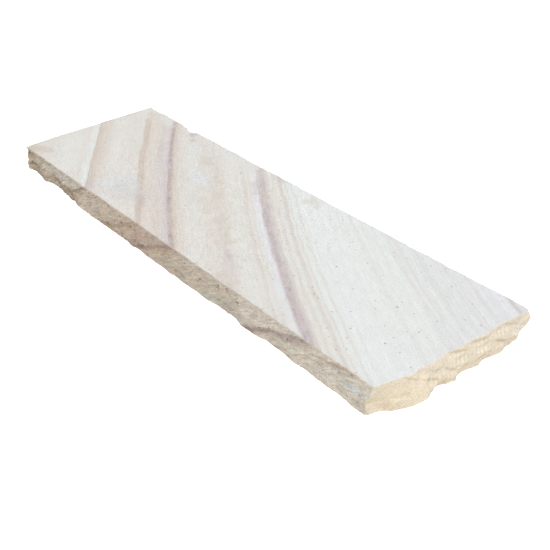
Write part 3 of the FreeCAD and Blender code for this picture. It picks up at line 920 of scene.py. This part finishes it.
def split_material(groups):
    """The split edges: warm buff, grainy and pitted, with the bands running down through them."""
    material, tree, shader, bump, place = finish_material("split sandstone", 0.93, 0.0005)
    x, y, z = put(tree, "ShaderNodeSeparateXYZ", {0: place}).outputs
    # The front corner of the right end leans out towards the sawn face
    lean = times(tree, maths(tree, "MAXIMUM", maths(tree, "SUBTRACT", z, 0.013), 0.0), -0.5)
    end = ease(tree, plus(tree, x, lean), 0.2688, 0.2718)

    def calmer(elsewhere, there):
        """A value that changes from the front to the smoother right end."""
        return maths(tree, "MULTIPLY_ADD", end, there - elsewhere, elsewhere)

    def laid(tone, *shares):
        """The buff stone so far with a tone laid over it."""
        return lay(tree, buff, srgb(*tone, SPLIT_SHOWN), *shares)

    bed = use(tree, groups["bedding"], {"Vector": place, "Wander": 1.2})
    coarse = ease(tree, x, -0.03, -0.16, 0.0, 0.25)
    blotch = times(tree, calmer(0.36, 0.15), ease(tree, x, 0.0, 0.15, 1.0, 0.7))
    grain = use(tree, groups["grain"], {
        "Vector": place, "Bed": bed["Bed"], "Grain Size": 1.0, "Line Length": 10.0, "Blotch": blotch,
        "Color Share": 0.05, "Grain": plus(tree, calmer(1.15, 0.78), coarse),
        "Lines": plus(tree, calmer(1.3, 0.35), coarse)})
    # The buff of the stone changes along the front and is warmest on the right end
    buff = srgb(240, 228, 210, SPLIT_SHOWN)
    buff = laid((232, 218, 199), ease(tree, cloud(tree, place, 1 / (38 * MM), 3.0, 0.6), 0.35, 0.65))
    pale = lay(tree, srgb(252, 241, 224, SPLIT_SHOWN), srgb(243, 230, 208, SPLIT_SHOWN), end)
    buff = lay(tree, buff, pale, ease(tree, x, 0.04, 0.20))
    buff = laid((214, 197, 171), ease(tree, x, -0.150, -0.185), 0.55)
    buff = laid((228, 205, 184), ease(tree, x, -0.15, -0.10), ease(tree, x, 0.04, -0.02), 0.55)
    # Front marks: stains, with painted shade and painted light at the left ledges and both corners
    for along, height, wide, high, rise, tone, strength in FRONT_STAINS_AND_PAINTED_SHADING:
        mask = front_patch(tree, groups, place, (along, height), (wide, high), rise, 0.7)
        buff = laid(tone, mask, strength)
    # Stains of the right end, with painted shade along the ledges and painted light on the scales
    for along, height, wide, high, rise, tone, strength in END_STAINS_AND_PAINTED_SHADING:
        mask = end_patch(tree, groups, place, (along, height), (wide, 1.15 * high), rise, 0.6)
        buff = laid(tone, mask, 0.7 * strength)
    # Upright hackles in the scoops: their crests are painted pale, a painted highlight, and their
    # troughs darker, painted shade, over the ribs that the mesh carries
    wobble = maths(tree, "MULTIPLY_ADD", cloud(tree, place, 1 / (6 * MM), 2.0), 0.0016, y)
    wave = maths(tree, "MULTIPLY_ADD", wobble, 2 * math.pi / HACKLE_GAP, HACKLE_START)
    upright = maths(tree, "SINE", wave)
    painted_crest_highlight = ease(tree, upright, 0.0, 0.9, 0.0, 0.8)
    painted_trough_shade = ease(tree, upright, -0.3, -0.95, 0.0, 0.25)
    # In each scoop: painted highlight on the crests and painted shade in the troughs
    for along, height, half_long, half_wide, _, ribbed in SCOOPS:
        bowl = (1.15 * half_long, 1.2 * half_wide)
        mask = times(tree, end_patch(tree, groups, place, (along, height), bowl, SCOOP_RISE, 0.35), ribbed)
        buff = laid((255, 248, 230), mask, painted_crest_highlight)
        buff = laid((222, 200, 168), mask, painted_trough_shade)
    # The larger pits are also painted dark inside: painted shade in the hollows that the mesh cuts
    for along, height, radius, _ in PITS:
        mask = front_patch(tree, groups, place, (along, height), (1.3 * radius, 0.6 * radius), 0, 0.3)
        buff = laid((150, 122, 100), mask, 0.5)
    # The bands keep their hue in the rough stone
    ratio = put(tree, "ShaderNodeMix", {0: 1.0, 6: bed["Color"], 7: TONES["cream"]}, data_type="RGBA",
                blend_type="DIVIDE", clamp_result=True).outputs[2]
    greyer = lay(tree, ratio, put(tree, "ShaderNodeRGBToBW", {0: ratio}).outputs[0], 0.3)
    hue = put(tree, "ShaderNodeGamma", {0: greyer, 1: calmer(1.0, 0.15)}).outputs[0]
    color = blend(tree, 1.0, buff, hue, "MULTIPLY")
    color = blend(tree, 1.0, color, grain["Tint"], "MULTIPLY")
    flecks = vector(tree, "MULTIPLY", bed["Bed"], Vector((0.5, 0.5, 1.0)) * MM)
    specks = use(tree, groups["specks"], {
        "Vector": flecks, "Spacing": 4.2, "Share": 0.4, "Size": 0.7})["Mask"]
    color = lay(tree, color, srgb(150, 126, 106, SPLIT_SHOWN), specks, calmer(0.6, 0.25))
    # The arris is worn pale
    rubbed = ease(tree, cloud(tree, place, 1 / (5 * MM), 2.0), 0.3, 0.6, 0.2, 0.6)
    color = lay(tree, color, srgb(250, 242, 232, SPLIT_SHOWN), ease(tree, z, 0.0232, 0.0250), rubbed)
    tree.links.new(color, shader["Base Color"])
    tree.links.new(maths(tree, "SUBTRACT", grain["Height"], times(tree, specks, 0.5)), bump["Height"])
    return material


def floor_material():
    """Matt white translucent studio paper."""
    material, tree, shader, bump, place = finish_material("studio paper", 1.0, 0.0001)
    shader["Specular IOR Level"].default_value = 0.0
    tone = cloud(tree, place, 3.0, 2.0)
    tree.links.new(blend(tree, tone, (0.94, 0.94, 0.94, 1), (0.95, 0.95, 0.95, 1)), shader["Base Color"])
    # Lit from below as well, as on a light table, so that a camera sees hardly any shadow on it
    shader["Emission Color"].default_value = (1, 1, 1, 1)
    seen = put(tree, "ShaderNodeLightPath").outputs["Is Camera Ray"]
    tree.links.new(ease(tree, seen, 0.0, 1.0, 0.45, 0.9), shader["Emission Strength"])
    tree.links.new(cloud(tree, place, 400.0, 1.0), bump["Height"])
    return material


# The studio


def studio_floor():
    """A sheet of paper that reaches past every view."""
    bm = bmesh.new()
    bmesh.ops.create_grid(bm, x_segments=1, y_segments=1, size=60.0)
    mesh = bpy.data.meshes.new("studio_floor")
    bm.to_mesh(mesh)
    bm.free()
    floor = bpy.data.objects.new("studio_floor", mesh)
    bpy.context.scene.collection.objects.link(floor)
    mesh.materials.append(floor_material())
    return floor


def studio_light():
    """A broad key from over the right end, and a little light from all round."""
    key = bpy.data.lights.new("key", "SUN")
    key.energy = 4.44
    key.angle = math.radians(36)
    lamp = bpy.data.objects.new("key", key)
    lamp.rotation_euler = (0, math.radians(23), 0)
    bpy.context.scene.collection.objects.link(lamp)
    world = bpy.data.worlds.new("studio")
    world.use_nodes = True
    sky = world.node_tree.nodes["Background"]
    sky.inputs["Color"].default_value = (1, 1, 1, 1)
    # A camera sees a white wall all round, which throws only a little light
    seen = put(world.node_tree, "ShaderNodeLightPath").outputs["Is Camera Ray"]
    world.node_tree.links.new(ease(world.node_tree, seen, 0.0, 1.0, 0.06, 1.0), sky.inputs["Strength"])
    bpy.context.scene.world = world


def photo_camera():
    """The camera of the photo, solved from the corners and edges of the sawn face."""
    data = bpy.data.cameras.new("camera")
    data.lens = 72.67
    data.sensor_width = 36.0
    camera = bpy.data.objects.new("camera", data)
    camera.location = (0.75199, -0.46432, 0.47647)
    camera.rotation_euler = [math.radians(angle) for angle in (59.623, 3.721, 54.150)]
    bpy.context.scene.collection.objects.link(camera)
    bpy.context.scene.camera = camera


shared = {"bedding": bedding_group(), "grain": grain_group(), "specks": specks_group("iron_specks", "3D"),
          "flat specks": specks_group("flat_iron_specks", "2D"), "patch": patch_group()}
stone = split_stone()
stone.data.materials.append(sawn_material(shared))
stone.data.materials.append(split_material(shared))
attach(stone, "root")
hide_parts(STONE)
studio_floor()
studio_light()
photo_camera()
bpy.context.scene.view_settings.view_transform = "Standard"
